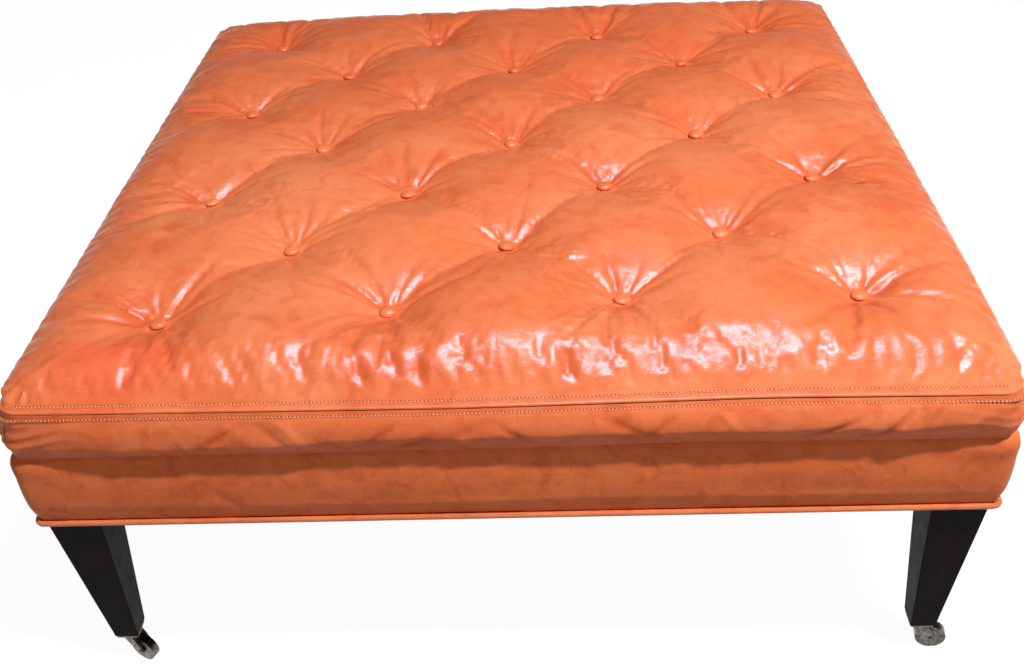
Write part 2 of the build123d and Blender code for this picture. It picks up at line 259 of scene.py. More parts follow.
# how fine each pattern of the leather is, in patterns to a metre
leatherScales = {"clouds": 5.5, "darkSpots": 11, "gloss": 16, "patchEdge": 30, "mottle": 38, "unevenness": 70,
                 "pores": 260, "grainTone": 420, "pebbles": 520}
# heading and stretch of the two directions of light scratches
scratchRuns = ((0.7, (14, 160, 60)), (-0.5, (120, 11, 60)))


def leather(name, patches=()):
    tones = leatherTones[name]
    material, tree, shader, place = startMaterial(name)

    def pattern(kind, *details):
        return noiseOn(tree, place, leatherScales[kind], *details)

    def tint(mask, tone):
        return mixOn(tree, "MIX", mask, colour, tone)

    colour = tones["plain"]
    colour = tint(rampOn(tree, pattern("clouds", 5, 0.6, 0.5), [(0.32, 0), (0.7, 1)]), tones["pale"])
    darkSpots = pattern("darkSpots", 6, 0.65, 1.2)
    colour = tint(rampOn(tree, darkSpots, [(0.5, 0), (0.75, tones["patch"] * 0.75)]), tones["deep"])
    mottle = pattern("mottle", 7, 0.62, 0.9)
    colour = tint(rampOn(tree, mottle, [(0.50, 0), (0.72, 0.55)]), tones["deep"])
    colour = tint(rampOn(tree, mottle, [(0.28, 0.5), (0.47, 0)]), tones["pale"])
    grainTone = rampOn(tree, pattern("grainTone", 3, 0.6), [(0.3, 0.93), (0.7, 1.04)])
    colour = mixOn(tree, "MULTIPLY", 1.0, colour, grainTone)
    # folds paler on their ridges, as wear and painted light, and darker in their hollows as painted shade
    foldWearAndShade = addNode(tree, "ShaderNodeAttribute", attribute_name="fold", attribute_type="GEOMETRY")
    colour = tint(rampOn(tree, foldWearAndShade.outputs["Fac"], [(0.5, 0), (0.95, 0.55)]), tones["pale"])
    colour = tint(rampOn(tree, foldWearAndShade.outputs["Fac"], [(0.05, 0.7), (0.5, 0)]), tones["deep"])
    # larger patches of another tone, ragged at their edges; the one darkening the rear is painted shade
    for centre, reach, tone, amount in patches:
        ball = addNode(tree, "ShaderNodeTexGradient", gradient_type="SPHERICAL")
        around = mapOn(tree, place, [1 / r for r in reach], [-c / r for c, r in zip(centre, reach)])
        tree.links.new(around, ball.inputs["Vector"])
        ragged = rampOn(tree, pattern("patchEdge", 5, 0.7), [(0.3, 0.35), (0.65, 1)])
        spot = rampOn(tree, mathOn(tree, "MULTIPLY", ball.outputs["Fac"], ragged), [(0.02, 0), (0.5, amount)])
        colour = tint(spot, tone)
    scratches = []
    for turn, stretch in scratchRuns:
        streak = noiseOn(tree, mapOn(tree, place, stretch, turn=turn), 1, 6, 0.7, 0.4)
        scratches.append(rampOn(tree, streak, [(0.665, 0), (0.70, 1)]))
    scratch = mixOn(tree, "LIGHTEN", 1.0, *scratches)
    colour = tint(mixOn(tree, "MULTIPLY", 1.0, scratch, (0.5, 0.5, 0.5)), tones["pale"])
    tree.links.new(colour, shader.inputs["Base Color"])
    low, high = tones["roughness"]
    gloss = rampOn(tree, pattern("gloss", 5, 0.6), [(0.3, low), (0.75, high)])
    tree.links.new(gloss, shader.inputs["Roughness"])
    # fine pebbled grain, scratches, pores and soft unevenness
    pebble = addNode(tree, "ShaderNodeTexVoronoi", feature="SMOOTH_F1", in_Scale=leatherScales["pebbles"])
    tree.links.new(place, pebble.inputs["Vector"])
    grain = bumpOn(tree, pebble.outputs["Distance"], 0.12, 0.0006)
    grain = bumpOn(tree, scratch, 0.12, 0.0004, grain)
    grain = bumpOn(tree, pattern("pores", 4, 0.6, 0.3), 0.16, 0.0007, grain)
    grain = bumpOn(tree, pattern("unevenness", 5, 0.55, 0.8), 0.24, 0.0022, grain)
    tree.links.new(grain, shader.inputs["Normal"])
    shader.inputs["Specular IOR Level"].default_value = tones["specular"]
    return material


def thread(name, colour):
    material, tree, shader, place = startMaterial(name)
    shade = rampOn(tree, noiseOn(tree, place, 900, 2), [(0.3, 0.75), (0.7, 1.1)])
    tree.links.new(mixOn(tree, "MULTIPLY", 1.0, colour, shade), shader.inputs["Base Color"])
    wave = addNode(tree, "ShaderNodeTexWave", in_Scale=900, in_Distortion=1.5)
    tree.links.new(place, wave.inputs["Vector"])
    tree.links.new(bumpOn(tree, wave.outputs["Fac"], 0.3, 0.0002), shader.inputs["Normal"])
    shader.inputs["Roughness"].default_value = 0.7
    shader.inputs["Specular IOR Level"].default_value = 0.1
    return material


legTones = {"dark": (0.0090, 0.0068, 0.0064), "pale": (0.0155, 0.0115, 0.0104), "roughness": (0.42, 0.54)}


def lacquer(name):
    material, tree, shader, place = startMaterial(name)
    grain = noiseOn(tree, mapOn(tree, place, (1, 1, 0.06)), 260, 6, 0.6, 0.6)
    tone = mixOn(tree, "MIX", rampOn(tree, grain, [(0.35, 0), (0.75, 1)]), legTones["dark"], legTones["pale"])
    tree.links.new(tone, shader.inputs["Base Color"])
    low, high = legTones["roughness"]
    gloss = rampOn(tree, noiseOn(tree, place, 45, 4), [(0.3, low), (0.7, high)])
    tree.links.new(gloss, shader.inputs["Roughness"])
    tree.links.new(bumpOn(tree, grain, 0.1, 0.0005), shader.inputs["Normal"])
    shader.inputs["Specular IOR Level"].default_value = 0.03
    return material


def metal(name, bright, dull, roughness):
    material, tree, shader, place = startMaterial(name)
    tarnish = noiseOn(tree, place, 160, 6, 0.65, 0.8)
    tone = mixOn(tree, "MIX", rampOn(tree, tarnish, [(0.35, 0), (0.65, 1)]), bright, dull)
    tree.links.new(tone, shader.inputs["Base Color"])
    shader.inputs["Metallic"].default_value = 1
    low, high = roughness
    tree.links.new(rampOn(tree, tarnish, [(0.35, low), (0.7, high)]), shader.inputs["Roughness"])
    tree.links.new(bumpOn(tree, noiseOn(tree, place, 900, 3), 0.12, 0.0003), shader.inputs["Normal"])
    return material


def wood(name, pale, dark, squeeze, scale=70):
    material, tree, shader, place = startMaterial(name)
    rings = noiseOn(tree, mapOn(tree, place, squeeze), scale, 6, 0.6, 1.4)
    tone = mixOn(tree, "MIX", rampOn(tree, rings, [(0.3, 0), (0.7, 1)]), pale, dark)
    tree.links.new(tone, shader.inputs["Base Color"])
    tree.links.new(bumpOn(tree, rings, 0.2, 0.0006), shader.inputs["Normal"])
    shader.inputs["Roughness"].default_value = 0.62
    return material


def cloth(name, colour, fibre, scale, weave):
    material, tree, shader, place = startMaterial(name)
    threads = []
    for heading in ("X", "Y"):
        band = addNode(tree, "ShaderNodeTexWave", in_Scale=scale, in_Distortion=0.6, bands_direction=heading)
        tree.links.new(place, band.inputs["Vector"])
        threads.append(band.outputs["Fac"])
    crossed = mathOn(tree, "MAXIMUM", *threads)
    fluff = noiseOn(tree, place, scale * 0.6, 5)
    height = mixOn(tree, "MIX", weave, rampOn(tree, fluff, [(0.2, 0), (0.8, 1)]), crossed)
    tone = mixOn(tree, "MIX", height, colour, fibre)
    tree.links.new(tone, shader.inputs["Base Color"])
    tree.links.new(bumpOn(tree, height, 0.4, 0.0006), shader.inputs["Normal"])
    shader.inputs["Roughness"].default_value = 0.9
    return material


# centre, reach, tone and strength of each patch
cushionLeather = leather("cushion_leather", patches=(
    ((-0.415, -0.487, 0.455), (0.095, 0.070, 0.10), (0.88, 0.115, 0.042), 0.6),   # red blotch, front left
    ((0.443, -0.165, 0.475), (0.010, 0.007, 0.03), (0.40, 0.045, 0.012), 0.7),    # small dark mark, right
    ((0, 0.80, 0.45), (1.1, 0.85, 0.5), (0.72, 0.115, 0.030), 0.55),              # painted shade, darker towards the rear
    ((-0.20, -0.26, 0.475), (0.22, 0.10, 0.10), (0.90, 0.24, 0.085), 0.5)))       # paler towards the front left of the middle
boxingLeather = leather("boxing_leather")
baseLeather = leather("base_leather")
weltLeather = leather("welt_leather")
stitchThread = thread("stitchThread", (0.88, 0.36, 0.20))
# the dark of the needle holes is painted shade
needleHoleShade = thread("needleHoleShade", (0.20, 0.030, 0.010))
legLacquer = lacquer("leg_lacquer")
casterMetal = metal("caster_metal", (0.27, 0.235, 0.20), (0.040, 0.034, 0.029), (0.20, 0.40))
wheelMetal = metal("wheelMetal", (0.25, 0.225, 0.20), (0.045, 0.040, 0.036), (0.24, 0.45))
plateSteel = metal("hardware_steel", (0.62, 0.62, 0.60), (0.40, 0.40, 0.39), (0.3, 0.45))
frameWood = wood("frame_wood", (0.62, 0.44, 0.26), (0.45, 0.29, 0.15), (0.3, 1, 1))
boardWood = wood("boardWood", (0.66, 0.50, 0.31), (0.52, 0.36, 0.20), (1, 0.12, 1), 40)
dustCloth = cloth("dust_cloth", (0.018, 0.018, 0.020), (0.05, 0.05, 0.055), 900, 0.7)
print("materials ready")


# Tufted top panel

tuft = {
    "rows": 3,                # on each side of the middle row
    "spacing": 0.130,         # half the distance between buttons in a row
    "middleLevel": 0.0195,    # of the middle button's hollow above the seam
    "crown": 0.0070,          # fall of the hollows from the middle to a corner
    "rise": 0.0275,           # of the pillows above the hollows
    "hollowReach": 0.055,     # how fast a hollow round a button fills out
    "dimpleReach": 0.025,     # the same for the steep dimple under the button
    "dimpleShare": 0.31,
    "valleyShare": 0.80,      # depth of the valleys between neighbours, of the rise
    "stitchInset": 0.0044,    # of the upper stitching from the seam
    "stitchLevel": 0.0048,    # of the upper stitching above the seam
    "lift": 0.0012,           # of the panel above the seam's middle at the piping
    "rollWidth": 0.098,       # of the slope from the stitching up to the pillows
    "sideBulge": 0.0150,      # how far the roll swells out over the side seams
    "coarse": 200,            # faces of the first grid along one side
    "flangeCells": 4,         # of them in the sewn flange at each edge
    "flangeWidth": 0.0078,
    "rollCurve": 2.4,         # how soon that slope flattens
    "shadeAndWear": 130,              # share of painted shade and wear to a metre of fold height
    "seed": 11,
}
# creases from button to button, and the weaker ones that run out to the seam
valley = {"width": 0.017, "widening": 0.028, "shallower": 0.46, "outward": 0.6, "sharpness": 1.15,
          "softShallower": 0.25, "softWider": 0.2, "softSharpness": 1.6}
spanHalf = pipingHalf
cushionCorner = 0.024
diagonal = math.sqrt(2)
# where the real buttons sit off the even grid, in metres
buttonShifts = {(-3, -3): (0, -0.006), (-1, -3): (0.002, 0.001),
                (1, -3): (0.005, 0.011), (3, -3): (0.006, 0.010),
                (-2, -2): (-0.002, 0.005), (0, -2): (0.003, -0.002), (2, -2): (0.001, 0.013),
                (-3, -1): (-0.002, 0.003), (-1, -1): (0, 0.002),
                (1, -1): (-0.003, 0.005), (3, -1): (0.005, 0.013),
                (-2, 0): (-0.004, 0.011), (0, 0): (0.003, 0.003), (2, 0): (0, 0.013),
                (-3, 1): (-0.004, 0.008), (-1, 1): (-0.006, 0.010),
                (1, 1): (-0.001, 0.012), (3, 1): (0, 0.006),
                (-2, 2): (-0.002, 0.004), (0, 2): (0.003, -0.001), (2, 2): (0.005, 0.003),
                (-3, 3): (-0.006, 0.010), (-1, 3): (0, -0.001),
                (1, 3): (0.007, -0.003), (3, 3): (0.004, 0.003)}
# the front seam isn't quite level: places along it and how far they stand above or below
seamDrift = ((-0.53, 0.0016), (-0.30, -0.0010), (-0.05, -0.0035), (0.05, -0.0027), (0.27, 0.0006),
             (0.50, -0.0036), (0.54, -0.0036))


def seamRise(x, y):
    # the drift smoothed along the front, and fading out towards the rear
    at, rise = zip(*seamDrift)
    reach, blur = 0.54, 12
    fine = np.linspace(-reach, reach, 217)
    weights = np.hanning(2 * blur + 1)
    padded = np.pad(np.interp(fine, at, rise), blur, "edge")
    smooth = np.convolve(padded, weights / weights.sum(), "valid")
    return np.interp(x, fine, smooth) * smoothStep(-np.asarray(y), 0.34, 0.50)


def buttonPlaces():
    places = {}
    for row in range(-tuft["rows"], tuft["rows"] + 1):
        for column in range(-tuft["rows"], tuft["rows"] + 1):
            if (row - column) % 2 == 0:
                dx, dy = buttonShifts.get((column, row), (0, 0))
                places[column, row] = (column * tuft["spacing"] + dx, row * tuft["spacing"] + dy)
    return places


places = buttonPlaces()


def hollowLevel(x, y):
    reach = tuft["rows"] * tuft["spacing"] * diagonal
    return tuft["middleLevel"] - tuft["crown"] * (x * x + y * y) / reach ** 2


def smoothStep(value, low, high):
    t = np.clip((value - low) / (high - low), 0, 1)
    return t * t * (3 - 2 * t)


def edgeDistance(x, y):
    return spanHalf - np.maximum(np.abs(x), np.abs(y))


def borderRoll(inward):
    # height share from the stitching, an even slope at first and flat near the outer buttons
    t = np.clip((inward - tuft["stitchInset"]) / tuft["rollWidth"], 0, 1)
    return 1 - (1 - t) ** tuft["rollCurve"]


def valleys(x, y):
    # soft creases from button to button along the diagonals, sharp at the buttons
    depth = np.zeros_like(x)
    done = set()
    for (column, row), (bx, by) in places.items():
        for stepX, stepY in ((1, 1), (1, -1), (-1, 1), (-1, -1)):
            other = (column + stepX, row + stepY)
            pair = frozenset(((column, row), other))
            if pair in done:
                continue
            done.add(pair)
            ox, oy = places.get(other, (bx + stepX * tuft["spacing"], by + stepY * tuft["spacing"]))
            dx, dy = ox - bx, oy - by
            length = math.hypot(dx, dy)
            along = ((x - bx) * dx + (y - by) * dy) / length ** 2
            across = np.sqrt(((x - bx) * dy - (y - by) * dx) ** 2 / length ** 2 + 0.000004)
            t = np.clip(along, 0, 1)
            if other in places:
                middle = 4 * t * (1 - t)
                strength = 1 - valley["shallower"] * middle
            else:
                middle = np.clip(t * 1.4, 0, 1)
                strength = valley["outward"] * (1 - t) ** 1.8
            # those from the front right to the rear left are softer
            soft = stepX * stepY < 0
            strength *= 1 - valley["softShallower"] * soft * middle
            width = (valley["width"] + valley["widening"] * middle) * (1 + valley["softWider"] * soft)
            sharpness = valley["softSharpness" if soft else "sharpness"]
            inside = smoothStep(along, -0.06, 0.03) * (1 - smoothStep(along, 0.97, 1.06))
            dent = tuft["valleyShare"] * strength * np.exp(-(across / width) ** sharpness) * inside
            depth = 1 - (1 - depth) * (1 - dent)
    return depth


# folds that fan out from a button beside the diagonals, looser ones between them,
# and pleats from the outer buttons to the seam: degrees and metres, each drawn between two limits
fanFolds = {"spreads": (-24, -8, 8, 22), "wander": 6, "length": (0.060, 0.125), "height": (0.0012, 0.0034),
            "width": (0.0036, 0.0062), "bend": (-0.9, 0.9)}
looseFolds = {"spreads": (90, 65, 118, 270, 0, 180), "wander": 9, "length": (0.035, 0.080),
              "height": (0.0008, 0.0019), "width": (0.0034, 0.0055), "bend": (-0.5, 0.5)}
outerPleats = {"spreads": (-17, -5, 8, 20), "wander": 4, "length": (0.100, 0.138), "height": (0.0016, 0.0034),
               "width": (0.0055, 0.0085), "bend": (-0.5, 0.5)}


def drawRay(kind, bx, by, heading, calm, source):
    heading += source.uniform(-kind["wander"], kind["wander"])
    return (bx, by, math.radians(heading), source.uniform(*kind["length"]),
            calm * source.uniform(*kind["height"]), source.uniform(*kind["width"]),
            source.uniform(*kind["bend"]))


def foldRays():
    source = random.Random(tuft["seed"])
    rays = []
    for (column, row), (bx, by) in places.items():
        for quarter in range(4):
            calm = 1 if quarter < 2 else 0.5    # calmer on the front side
            for spread in fanFolds["spreads"]:
                rays.append(drawRay(fanFolds, bx, by, 45 + 90 * quarter + spread, calm, source))
        for heading in looseFolds["spreads"]:
            if source.random() < 0.5:
                rays.append(drawRay(looseFolds, bx, by, heading, 1, source))
        for outer, heading in ((row == -3, 270), (row == 3, 90), (column == -3, 180), (column == 3, 0)):
            for spread in outerPleats["spreads"] if outer else ():
                calm = 0.4 if heading == 270 and column == -3 else 0.8
                rays.append(drawRay(outerPleats, bx, by, heading + spread, calm, source))
    return rays


def folds(x, y):
    total = np.zeros_like(x)
    for bx, by, heading, length, height, width, bend in foldRays():
        dx, dy = x - bx, y - by
        near = dx * dx + dy * dy < (length * 1.1) ** 2
        ax, ay = dx[near], dy[near]
        along = ax * math.cos(heading) + ay * math.sin(heading)
        across = ay * math.cos(heading) - ax * math.sin(heading) - bend * along * along / length * 0.35
        t = np.clip(along / length, 0, 1)
        spread = width * (0.45 + 1.1 * t)
        shape = smoothStep(along, 0.006, 0.022) * (1 - t) ** 1.1
        wave = across / spread
        total[near] -= height * shape * np.exp(-wave ** 2) * (1 - 0.9 * wave)
    return total


# short puckers along the seams, weaker towards the ends of the front and on the other sides
gather = {"length": (0.045, 0.100), "height": (0.0006, 0.0030), "width": (0.0055, 0.0130), "lean": 0.35,
          "spacing": (0.012, 0.034), "front": 1.15, "frontLeft": 0.12, "frontRight": 0.75, "others": 0.08,
          "start": 0.009}


def gathers(x, y):
    source = random.Random(tuft["seed"] + 5)
    total = np.zeros_like(x)
    for side in range(4):
        turned = (x, y, -x, -y)[side]
        inward = edgeDistance(x, y)
        facing = (-y, x, y, -x)[side]
        own = facing > np.abs(turned) - 0.03
        place = -0.50
        while place < 0.50:
            length = source.uniform(*gather["length"])
            height = source.uniform(*gather["height"])
            if side == 0:
                height *= gather["frontLeft" if place < -0.22 else "frontRight" if place > 0.28 else "front"]
            else:
                height *= gather["others"]
            width = source.uniform(*gather["width"]) * (1 if side == 0 else 1.5)
            lean = source.uniform(-gather["lean"], gather["lean"])
            t = np.clip((inward - gather["start"]) / length, 0, 1)
            across = turned - place - lean * inward
            near = own & (np.abs(across) < width * 3) & (inward < gather["start"] + length)
            shape = np.sin(np.pi * np.clip(t[near], 0, 1) ** 0.8) ** 1.2
            total[near] -= height * shape * np.exp(-(across[near] / width) ** 2)
            place += source.uniform(*gather["spacing"])
    return total


def cornerPuckers(x, y):
    # small ripples fanned round each corner above the piping, strongest at the front left
    total = np.zeros_like(x)
    for sx, sy, height in ((-1, -1, 0.0020), (1, -1, 0.0010), (1, 1, 0.0009), (-1, 1, 0.0011)):
        a = (x * sx - (spanHalf - cushionCorner)) / cushionCorner
        b = (y * sy - (spanHalf - cushionCorner)) / cushionCorner
        angle = np.arctan2(b + 0.35, a + 0.35)
        far = np.maximum(a, b)
        near = smoothStep(far, -0.2, 0.45) * (1 - smoothStep(far, 0.55, 0.85))
        near = near * smoothStep(np.minimum(a, b), -0.9, -0.2)
        total += height * np.sin(angle * 11 + sx) * near
    return total


def pillowLevel(x, y):
    near = np.zeros_like(x)
    for bx, by in places.values():
        r = np.hypot(x - bx, y - by)
        r = np.sqrt(r * r + 0.00003)
        wide = (1 - tuft["dimpleShare"]) * np.exp(-(r / tuft["hollowReach"]) ** 1.3)
        near = np.maximum(near, wide + tuft["dimpleShare"] * np.exp(-(r / tuft["dimpleReach"]) ** 1.3))
    drop = 1 - (1 - near) * (1 - valleys(x, y))
    return hollowLevel(x, y) + tuft["rise"] * (1 - drop)


def tuftedHeight(x, y):
    inward = edgeDistance(x, y)
    level = pillowLevel(x, y)
    roll = borderRoll(inward)
    # near the seam the corners fall away a little more
    fall = 1 - 0.10 * smoothStep(np.minimum(np.abs(x), np.abs(y)), 0.40, spanHalf)
    climb = np.clip((inward - 0.0019) / (tuft["stitchInset"] - 0.0019), 0, 1)
    flange = tuft["lift"] + (tuft["stitchLevel"] - tuft["lift"]) * climb ** 0.85
    flange -= 0.0009 * (1 - np.clip(inward / 0.0019, 0, 1))
    return flange + (level - tuft["stitchLevel"]) * roll * fall


def roundCorners(points, half, radius):
    # draws a square grid's corner cells into quarter circles
    for sx in (-1, 1):
        for sy in (-1, 1):
            a = (points[:, 0] * sx - (half - radius)) / radius
            b = (points[:, 1] * sy - (half - radius)) / radius
            inside = (a > 0) & (b > 0)
            a, b = np.clip(a[inside], 0, 1), np.clip(b[inside], 0, 1)
            points[inside, 0] = sx * (half - radius + radius * a * np.sqrt(1 - b * b / 2))
            points[inside, 1] = sy * (half - radius + radius * b * np.sqrt(1 - a * a / 2))
    return points


clothStage = {"cells": 150, "frames": 16, "slack": 0.03, "hold": 0.10, "pressure": 1.0, "bending": 0.25,
              "cap": 0.005, "flangeHeld": 0.012, "buttonHeld": 0.010}


def settled(x, y):
    # lets a coarse copy of the panel settle as cloth over its padding, and gives how far it moved
    deselectAll()
    cells = clothStage["cells"]
    bpy.ops.mesh.primitive_grid_add(x_subdivisions=cells, y_subdivisions=cells, size=2 * spanHalf)
    panel = bpy.context.active_object
    points = readPoints(panel)
    px, py = points[:, 0].copy(), points[:, 1].copy()
    inward = edgeDistance(px, py)
    points[:, 2] = seamLevel + tuftedHeight(px, py) + folds(px, py) * smoothStep(inward, 0.006, 0.03)
    before = points.copy()
    points[:, 2] += 0.0004 * softNoise(px, py, 0.02, 91)
    writePoints(panel, points)
    nearest = np.min([np.hypot(px - bx, py - by) for bx, by in places.values()], axis=0)
    pins = panel.vertex_groups.new(name="held")
    firm = (inward < clothStage["flangeHeld"]) | (nearest < clothStage["buttonHeld"])
    pins.add(np.flatnonzero(firm).tolist(), 1.0, "REPLACE")
    pins.add(np.flatnonzero(~firm).tolist(), clothStage["hold"], "REPLACE")
    cloth = panel.modifiers.new("Settling", "CLOTH")
    settings = cloth.settings
    settings.quality = 6
    settings.mass = 0.35
    settings.tension_stiffness = settings.compression_stiffness = 25
    settings.shear_stiffness = 12
    settings.bending_model = "ANGULAR"
    settings.bending_stiffness = clothStage["bending"]
    settings.air_damping = 3
    settings.shrink_min = -clothStage["slack"]
    settings.use_pressure = True
    settings.uniform_pressure_force = clothStage["pressure"]
    settings.vertex_group_mass = "held"
    settings.pin_stiffness = 1
    settings.effector_weights.gravity = 0
    cloth.collision_settings.use_collision = False
    cloth.point_cache.frame_start, cloth.point_cache.frame_end = 1, clothStage["frames"]
    for frameNumber in range(1, clothStage["frames"] + 1):
        bpy.context.scene.frame_set(frameNumber)
    applyAll(panel)
    moved = readPoints(panel)[:, 2] - before[:, 2]
    bpy.data.objects.remove(panel)
    bpy.context.scene.frame_set(1)
    print("panel settled by", round(float(moved.min()), 4), "to", round(float(moved.max()), 4))
    moved = clothStage["cap"] * np.tanh(moved / clothStage["cap"])
    # read between the coarse points, in order of their place
    order = np.lexsort((px, py))
    table = moved[order].reshape(cells + 1, cells + 1)
    u = np.clip((x + spanHalf) / (2 * spanHalf) * cells, 0, cells - 1e-6)
    v = np.clip((y + spanHalf) / (2 * spanHalf) * cells, 0, cells - 1e-6)
    i, j = u.astype(int), v.astype(int)
    fu, fv = u - i, v - j
    fu, fv = fu * fu * (3 - 2 * fu), fv * fv * (3 - 2 * fv)
    low = table[j, i] * (1 - fu) + table[j, i + 1] * fu
    high = table[j + 1, i] * (1 - fu) + table[j + 1, i + 1] * fu
    return (low * (1 - fv) + high * fv) * smoothStep(edgeDistance(x, y), 0.008, 0.02)


def makeTop():
    deselectAll()
    bpy.ops.mesh.primitive_grid_add(x_subdivisions=tuft["coarse"], y_subdivisions=tuft["coarse"],
                                    size=2 * spanHalf, location=(0, 0, 0))
    top = bpy.context.active_object
    top.name = "tuftedTop"
    activate(top)
    bpy.ops.object.modifier_add(type="SUBSURF")
    top.modifiers[0].subdivision_type = "SIMPLE"
    top.modifiers[0].levels = top.modifiers[0].render_levels = 1
    applyAll(top)
    points = readPoints(top)
    # the cells are narrow in the flange and even inside it
    share = tuft["coarse"] / (tuft["coarse"] - 2 * tuft["flangeCells"])
    for axis in (0, 1):
        place = points[:, axis] / spanHalf
        inside = np.abs(place) * share <= 1
        outer = spanHalf - (1 - np.abs(place)) / (1 - 1 / share) * tuft["flangeWidth"]
        inner = place * share * (spanHalf - tuft["flangeWidth"])
        points[:, axis] = np.where(inside, inner, np.sign(place) * outer)
    x, y = points[:, 0], points[:, 1]
    inward = edgeDistance(x, y)
    detail = folds(x, y) + gathers(x, y)
    detail += 0.0010 * softNoise(x, y, 0.11, 3) + 0.0004 * softNoise(x, y, 0.04, 8)
    detail *= smoothStep(inward, 0.006, 0.03)
    detail += cornerPuckers(x, y)
    height = tuftedHeight(x, y) + detail + settled(x, y)
    # the stitching holds the seam allowance down
    height -= 0.0011 * np.exp(-((inward - tuft["stitchInset"] - 0.0006) / 0.0014) ** 2)
    points[:, 2] = seamLevel + height + seamRise(x, y) * np.exp(-(inward / 0.05) ** 2)
    # the roll swells out over the seams at the sides and the back
    past = np.clip(inward - tuft["stitchInset"], 0, None)
    climb, fade = 0.012, 0.085
    swell = tuft["sideBulge"] * np.sin(np.pi / 2 * np.clip(past / climb, 0, 1))
    swell = swell * (1 - smoothStep(past, climb, fade))
    onSide = 1 - smoothStep(np.abs(y) - np.abs(x), -0.02, 0.01)
    onRear = (1 - smoothStep(np.abs(x) - y, -0.02, 0.01)) * 0.7
    points[:, 0] += np.sign(x) * swell * onSide
    points[:, 1] += swell * onRear
    # the fold heights colour the leather: painted shade in the hollows, paler ridges as wear and painted
    # light
    markFoldWearAndShade(top, 0.5 + detail * tuft["shadeAndWear"])
    roundCorners(points, spanHalf, cushionCorner)
    writePoints(top, points)
    # the edge turns down behind the piping, and the form closes under the boxing
    activate(top)
    bpy.ops.object.mode_set(mode="EDIT")
    bpy.ops.mesh.select_all(action="SELECT")
    bpy.ops.mesh.region_to_loop()
    for down, scale in ((-0.0022, 0.9985), (-0.003, 0.992), (-0.020, 0.9965), (-0.032, 0.999)):
        bpy.ops.mesh.extrude_region_move(TRANSFORM_OT_translate={"value": (0, 0, down)})
        bpy.ops.transform.resize(value=(scale, scale, 1), center_override=(0, 0, seamLevel))
    bpy.ops.mesh.edge_face_add()
    bpy.ops.object.mode_set(mode="OBJECT")
    smoothShade(top, 60)
    dress(top, cushionLeather, "table", ("top_panel", "foam_core", "fibre_wrap"))


makeTop()
print("tufted top ready")


# Buttons

buttonShape = {"radius": 0.0100, "height": 0.0050, "skirt": 0.0028, "tuck": 0.22, "pleat": 0.00012,
               "lean": 0.10, "sides": 40, "rings": 24, "seed": 21}


def topLevel(x, y):
    return seamLevel + float(tuftedHeight(np.array([x]), np.array([y]))[0])


def makeButton(bx, by, source):
    level = topLevel(bx, by) + 0.0005
    deselectAll()
    bpy.ops.mesh.primitive_uv_sphere_add(segments=buttonShape["sides"], ring_count=buttonShape["rings"],
                                         radius=buttonShape["radius"], location=(bx, by, level))
    button = bpy.context.active_object
    bpy.ops.object.transform_apply(location=True)
    points = readPoints(button)
    dx, dy, dz = points[:, 0] - bx, points[:, 1] - by, points[:, 2] - level
    share = dz / buttonShape["radius"]
    spread = np.hypot(dx, dy) / buttonShape["radius"]
    # a full dome over a short skirt that tucks in underneath
    height = np.where(share > 0, buttonShape["height"] * share ** 0.9, buttonShape["skirt"] * share)
    tuck = np.where(share < 0, 1 - buttonShape["tuck"] * (-share), 1)
    angle = np.arctan2(dy, dx)
    ripple = np.sin(angle * source.randint(9, 13) + source.uniform(0, 6))
    pleat = buttonShape["pleat"] * ripple * (spread > 0.8)
    lean = [source.uniform(-buttonShape["lean"], buttonShape["lean"]) for _ in range(2)]
    points[:, 0] = bx + dx * tuck + pleat * np.cos(angle)
    points[:, 1] = by + dy * tuck + pleat * np.sin(angle)
    points[:, 2] = level + height + 0.0012 + dx * lean[0] + dy * lean[1]
    writePoints(button, points)
    return button


source = random.Random(buttonShape["seed"])
buttons = [makeButton(bx, by, source) for bx, by in places.values()]
tuftButtons = joinPieces(buttons, "tuftButtons")
smoothShade(tuftButtons, 60)
dress(tuftButtons, cushionLeather, "table", ("buttons",))
print("buttons ready")


# Corded seams: the piping round the top and the welt round the base

def ringPath(half, radius, level, spacing, wander, seed):
    # points round a rounded square, evenly spaced, anticlockwise from the middle of the front
    points = []
    straight = 2 * (half - radius)
    for side in range(4):
        heading = side * math.pi / 2
        count = round(straight / spacing)
        for step in range(count):
            points.append((heading, straight * (step / count - 0.5), -half))
        turns = max(4, round(radius * math.pi / 2 / spacing))
        for step in range(turns):
            angle = math.pi / 2 * step / turns
            points.append((heading, half - radius + radius * math.sin(angle),
                           -(half - radius) - radius * math.cos(angle)))
    source = random.Random(seed)
    waves = [(source.randint(3, 9), source.uniform(0, 6.28)) for _ in range(5)]
    path = []
    for number, (heading, along, out) in enumerate(points):
        share = number / len(points)
        rise = wander * sum(math.sin(2 * math.pi * n * share + phase) for n, phase in waves) / 5
        path.append(Vector((along * math.cos(heading) - out * math.sin(heading),
                            along * math.sin(heading) + out * math.cos(heading), level + rise)))
    return path


def sweepRing(path, profile, name):
    # the profile's points are (outwards, up) from the path
    verts, faces = [], []
    total, sides = len(path), len(profile)
    for number, point in enumerate(path):
        ahead = (path[(number + 1) % total] - path[number - 1]).normalized()
        out = Vector((ahead.y, -ahead.x, 0)).normalized()
        for a, b in profile:
            verts.append(point + out * a + Vector((0, 0, b)))
    for number in range(total):
        for side in range(sides):
            here, there = number * sides, (number + 1) % total * sides
            faces.append((here + side, there + side, there + (side + 1) % sides, here + (side + 1) % sides))
    piece = pieceFrom(name, verts, faces)
    faceOutwards(piece)
    smoothShade(piece, 50)
    return piece


